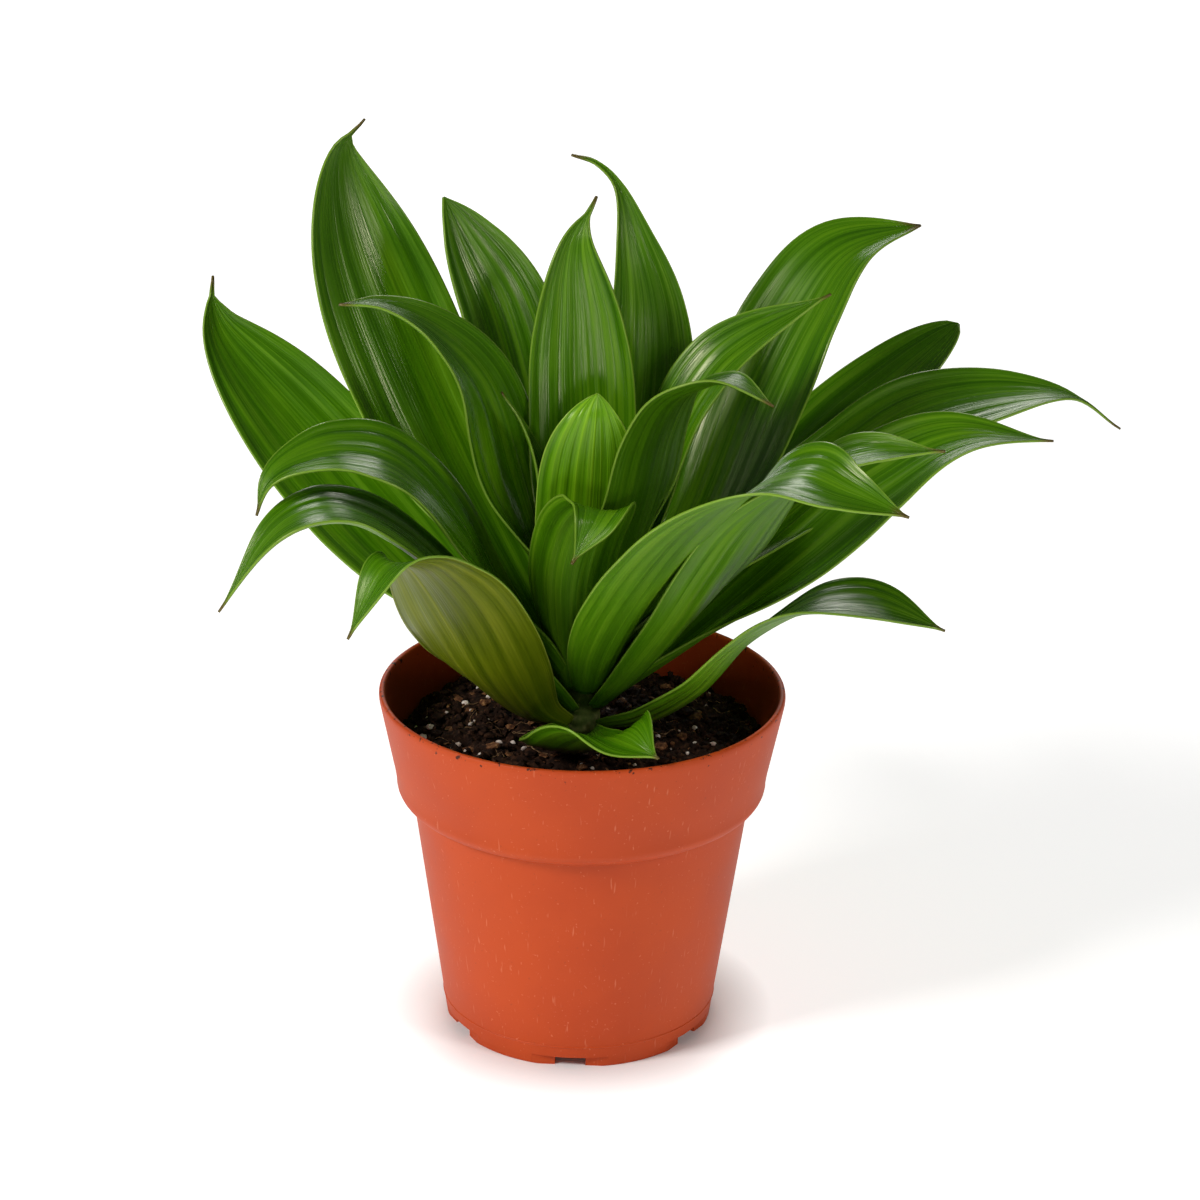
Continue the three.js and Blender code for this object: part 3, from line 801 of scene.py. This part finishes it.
# %% Leaves to the left
leaf(
    "leaf_left_far",
    [
        (-6, 3, 92), (-31, 18, 108), (-58, 34, 132), (-81, 50, 153), (-99, 62, 171),
        (-104, 66, 181), (-104, 68, 189),
    ],
    lean=147, wide=37, roll=(0, -28, -30), curl=(18, 40), taper=1, end=0.97,
)
leaf(
    "leaf_back_left_tall",
    [
        (-5, 5, 101), (-17, 16, 117), (-38, 30, 151), (-56, 44, 187), (-65, 53, 211),
        (-67, 59, 228), (-61, 61, 236),
    ],
    lean=136, wide=40, roll=(0, -15, -10), peak=0.55, curl=(18, 40), taper=1, end=0.97,
)
leaf(
    "leaf_back_left_inner",
    [
        (-3, 6, 105), (-8, 19, 125), (-15, 27, 163), (-23, 34, 191), (-33, 39, 210), (-39, 42, 220),
    ],
    lean=120, wide=30, peak=0.55, taper=0.9,
)
leaf(
    "leaf_left_arching_high",
    [
        (-6, 0, 105), (-10, 2, 123), (-20, 2, 154), (-28, -2, 181), (-40, -8, 198), (-52, -12, 206),
        (-63, -16, 208),
    ],
    lean=190, wide=28, roll=(0, -45, 0), peak=0.4, taper=1.1,
)
leaf(
    "leaf_left_small",
    [
        (-5, -1, 111), (-9, -1, 137), (-12, -2, 158), (-17, -3, 172), (-22, -4, 181),
    ],
    lean=190, wide=12, roll=(0, -30, 0), peak=0.45,
)
leaf(
    "leaf_left_arching_middle",
    [
        (-6, -1, 97), (-19, -9, 119), (-33, -17, 147), (-47, -24, 166), (-61, -29, 172),
        (-73, -33, 171), (-80, -36, 167), (-83, -39, 159),
    ],
    lean=205, wide=32, roll=(0, -25, -10),
)
leaf(
    "leaf_left_arching_low",
    [
        (-5, -4, 91), (-17, -14, 107), (-29, -22, 128), (-41, -29, 145), (-53, -35, 156),
        (-65, -41, 161), (-78, -46, 156), (-92, -50, 137),
    ],
    lean=210, wide=30, roll=(0, -15, 15), peak=0.45,
)
print("leaves so far:", len(leaves))

# %% Leaves in the heart
leaf(
    "leaf_centre_upright",
    [
        (0, 6, 112), (-1, 8, 135), (-1, 10, 166), (-2, 14, 192), (-3, 18, 214), (2, 24, 226),
    ],
    lean=90, wide=29, peak=0.45, curl=(18, 40), taper=1.3, end=0.97,
)
leaf(
    "leaf_back_twisted",
    [
        (4, 5, 105), (11, 16, 136), (16, 25, 170), (16, 30, 193), (12, 36, 211), (8, 42, 223),
        (2, 45, 229), (-5, 46, 231),
    ],
    lean=80, wide=26, roll=(0, 0, 40), peak=0.38, curl=(18, 40), taper=2.6,
)
leaf(
    "leaf_centre_bright",
    [
        (0, -5, 113), (0, -8, 136), (1, -10, 162), (2, -10, 175), (3, -7, 182),
    ],
    lean=-90, wide=27, curl=(14, 10), taper=0.8,
)
leaf(
    "leaf_centre_right",
    [
        (6, -4, 107), (11, -10, 137), (16, -17, 159), (19, -22, 175), (23, -28, 187),
        (29, -33, 193), (37, -38, 196), (47, -44, 192),
    ],
    lean=-45, wide=26, peak=0.45, taper=1.3,
)
leaf(
    "leaf_front_folded",
    [
        (-3, -6, 98), (-4, -9, 113), (-4, -14, 132), (-1, -20, 147), (4, -27, 157), (3, -34, 157),
        (-3, -39, 147),
    ],
    lean=-95, wide=25, curl=(40, 30),
)
print("leaves so far:", len(leaves))

# %% Leaves to the right
leaf(
    "leaf_right_narrow",
    [
        (6, 3, 107), (14, 5, 133), (22, 7, 163), (31, 10, 181), (42, 13, 191), (64, 18, 202),
    ],
    lean=10, wide=22, roll=(0, 20, 30), taper=1.6,
)
leaf(
    "leaf_right_rising",
    [
        (6, -3, 92), (15, -10, 104), (27, -16, 122), (36, -21, 138), (46, -26, 155), (59, -30, 169),
        (73, -33, 176), (91, -36, 178),
    ],
    lean=-23, wide=32, roll=(0, -20, 25),
)
leaf(
    "leaf_right_tall",
    [
        (4, 5, 105), (18, 14, 120), (33, 26, 134), (47, 40, 166), (58, 50, 186), (70, 58, 201),
        (91, 66, 207),
    ],
    lean=38, wide=35, roll=(0, 8, 8), peak=0.55, curl=(18, 40), taper=1,
)
leaf(
    "leaf_right_back",
    [
        (5, 4, 101), (20, 20, 112), (38, 37, 122), (67, 60, 147), (87, 71, 162), (104, 78, 175),
    ],
    lean=35, wide=28, roll=(0, 15, 15), peak=0.55, curl=(18, 20), taper=0.6,
)
leaf(
    "leaf_right_far",
    [
        (6, 2, 97), (22, 10, 111), (40, 20, 126), (68, 36, 144), (95, 48, 159), (131, 58, 161),
        (149, 62, 150),
    ],
    lean=22, wide=30, roll=(0, 20, 10), peak=0.55, taper=1.2, end=0.93,
)
leaf(
    "leaf_right_middle",
    [
        (6, 0, 92), (20, 5, 101), (34, 9, 112), (58, 15, 132), (79, 20, 149), (100, 23, 160),
        (126, 26, 159),
    ],
    lean=12, wide=34, roll=(0, 20, 10),
)
leaf(
    "leaf_right_low",
    [
        (6, -5, 86), (18, -13, 92), (31, -18, 103), (42, -20, 117), (55, -22, 127), (66, -24, 131),
        (78, -26, 131), (94, -29, 126),
    ],
    lean=-18, wide=24, roll=(-25, -10, 20), peak=0.6,
)
leaf(
    "leaf_back_upright",
    [
        (1, 6, 98), (2, 30, 132), (4, 54, 153), (5, 74, 158),
    ],
    lean=87, wide=24,
)
print("leaves so far:", len(leaves))

# %% Leaves at the front
leaf(
    "leaf_front_right_large",
    [
        (4, -5, 97), (8, -17, 113), (16, -29, 133), (26, -42, 154), (38, -55, 171), (52, -66, 181),
        (64, -73, 180), (79, -78, 176),
    ],
    lean=-45, wide=40, roll=(0, 0, 25), peak=0.45, taper=1.3,
)
leaf(
    "leaf_front_small",
    [
        (0, -7, 85), (-2, -21, 87), (0, -33, 93), (9, -43, 101), (20, -52, 99),
    ],
    lean=-80, wide=32, roll=(0, 0, 15), curl=(22, 30),
)
leaf(
    "leaf_front_left",
    [
        (-6, -7, 87), (-15, -14, 94), (-23, -24, 109), (-30, -34, 127), (-37, -43, 142),
        (-43, -49, 150), (-50, -53, 149), (-59, -57, 133),
    ],
    lean=225, wide=33, roll=(15, 35, 0), peak=0.4,
)
print("leaves so far:", len(leaves))

# %% Leaves at the back
leaf(
    "leaf_back_left",
    [
        (-2, 6, 92), (-17, 48, 109), (-30, 84, 119), (-40, 110, 119),
    ],
    lean=107, wide=34,
)
leaf(
    "leaf_back_low_left",
    [
        (-4, 5, 88), (-26, 38, 100), (-46, 68, 102), (-60, 92, 92),
    ],
    lean=124, wide=30,
)
leaf(
    "leaf_back_centre",
    [
        (1, 7, 90), (4, 42, 114), (6, 78, 132), (7, 108, 136),
    ],
    lean=85, wide=34,
)
leaf(
    "leaf_back_low_right",
    [
        (3, 6, 90), (24, 46, 108), (42, 80, 114), (54, 104, 106),
    ],
    lean=62, wide=32,
)
print("leaves so far:", len(leaves))

# %% [markdown]
# ### Waxy leaf skin
#
# The upper side is deep green under a thin wax film, so it shines in long pale streaks where the pleats
# face the light. Veins are lighter lines about 2 mm apart, with finer ones between. The margin is a thin
# pale line, and the tip dries to brown. The underside has less wax and is a duller, yellower green. A
# young leaf in the heart is a paler yellow-green, and its colours are painted brighter still, as painted
# light shining through it. One front leaf has aged to olive underneath. The pattern follows each leaf's
# own map, in metres along and across the blade, so the veins run with the leaf wherever it bends.

# %% Leaf materials
VEIN_SPACING = 2.3
FINE_VEIN_SPACING = 0.55
VEIN_DEPTH = 0.3


def leaf_skin(name, deep, mid, pale, margin, roughness, gloss_spread):
    """A green, veined leaf surface. gloss_spread is how far the veins vary its roughness."""
    material, shader = new_material(name)
    blade = add_node(material, "UVMap", uv_map="blade").outputs[0]
    edge = add_node(material, "Attribute", attribute_name="edge_mm").outputs["Fac"]
    share = add_node(material, "Attribute", attribute_name="along").outputs["Fac"]
    painted_light = add_node(material, "Attribute", attribute_name="painted_light").outputs["Fac"]

    def lengthwise(across_mm, along_mm, detail):
        """Noise drawn out along the blade, so that it reads as veins."""
        scale = (1 / (across_mm * MM), 1 / (along_mm * MM), 1)
        drawn = add_node(material, "Mapping", {"Vector": blade, "Scale": scale}).outputs[0]
        return add_node(material, "TexNoise", {"Vector": drawn, "Scale": 1.0, "Detail": detail}).outputs[0]

    def times_plus(value, factor, added):
        """value * factor + added."""
        sum_node = add_node(material, "Math", {0: value, 1: factor, 2: added}, operation="MULTIPLY_ADD")
        return sum_node.outputs[0]

    veins = lengthwise(VEIN_SPACING, 110, 2.0)
    fine = lengthwise(FINE_VEIN_SPACING, 45, 2.0)
    cloud = lengthwise(14, 30, 3.0)
    both = times_plus(veins, 0.8, times_plus(fine, 0.45, 0.0))
    mixed = times_plus(cloud, 0.35, both)
    stops = [(0.6, linear(deep)), (1.0, linear(pale)), (0.79, linear(mid))]
    green = add_node(material, "ValToRGB", {0: mixed}, stops)
    # Painted light and shade: the leaf's brightness factor lightens or darkens its green.
    lit = add_node(material, "HueSaturation", {"Color": green.outputs[0], "Value": painted_light})
    # The margin is a pale line of about 0.4 mm.
    at_edge = add_node(material, "MapRange", {0: edge, 1: 0.1, 2: 0.4, 3: 0.6, 4: 0.0})
    edged = layered(material, at_edge, lit.outputs[0], margin)
    # The last 3 to 5 mm dry out.
    ragged = times_plus(cloud, 0.06, share)
    at_tip = add_node(material, "MapRange", {0: ragged, 1: 0.995, 2: 1.02, 3: 0.0, 4: 0.85})
    tipped = layered(material, at_tip, edged.outputs[2], "#5a3b22")
    join(material, tipped.outputs[2], shader.inputs["Base Color"])
    # Wax lies thinner on the veins, so they are rougher than the furrows between them.
    smoothest, roughest = roughness - gloss_spread, roughness + gloss_spread
    rough = add_node(material, "MapRange", {0: both, 1: 0.45, 2: 0.8, 3: smoothest, 4: roughest})
    join(material, rough.outputs[0], shader.inputs["Roughness"])
    shader.inputs["IOR"].default_value = 1.45
    shader.inputs["Specular Tint"].default_value = linear("#fffbd0")
    bump = add_node(material, "Bump", {"Height": both, "Distance": VEIN_DEPTH * MM, "Strength": 1.0})
    join(material, bump.outputs[0], shader.inputs["Normal"])
    return material


upper = leaf_skin("waxy_dracaena_leaf", "#2e5b02", "#437403", "#5e8d0a", "#84a436", 0.27, 0.1)
under = leaf_skin("dracaena_leaf_underside", "#366302", "#4a7a04", "#638f10", "#8aaa3c", 0.4, 0.08)
# The young leaf is a paler yellow-green, and its colours are painted brighter still for the light that
# shines through it.
young_backlit = leaf_skin("young_backlit_dracaena_leaf", "#447803", "#649c08", "#84b814", "#aecb50", 0.32, 0.1)
olive = leaf_skin("dracaena_leaf_underside_olive", "#445403", "#586604", "#70790f", "#96a03c", 0.36, 0.08)
print("leaf materials:", [material.name for material in (upper, under, young_backlit, olive)])

# %% Grow the leaves
FINISHES = {"leaf_centre_bright": [young_backlit, young_backlit], "leaf_front_left": [upper, olive]}
# Painted light and shade per leaf: leaves that sit in shade are painted darker, well-lit ones lighter.
PAINTED_LEAF_LIGHT = {
    "leaf_left_far": 1.1, "leaf_right_tall": 1.05, "leaf_centre_right": 0.8, "leaf_front_small": 1.05,
}
FRESH_TIPS = {"leaf_centre_bright", "leaf_back_left_inner", "leaf_right_back"}
for seed, (name, shape) in enumerate(leaves.items()):
    dry_tip = 0.95 if name in FRESH_TIPS else 1.0
    finishes = FINISHES.get(name, [upper, under])
    grow(name, shape, seed, finishes, PAINTED_LEAF_LIGHT.get(name, 1.0), dry_tip)
print("leaves:", len(leaves), "with", ROWS * COLUMNS * 2, "faces each")

# %% [markdown]
# ## The sizes
#
# The visual model is meant to stay inside the imported model's box. Both boxes are printed, so that they can
# be compared.

# %% Print the sizes
visual_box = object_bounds()
sizes = {
    "cad": [[float(v) for v in corner] for corner in cad_box],
    "visual": [[float(v) for v in corner] for corner in visual_box],
}
for name, corners in sizes.items():
    print(name, [[round(v / MM, 1) for v in corner] for corner in corners], "mm")
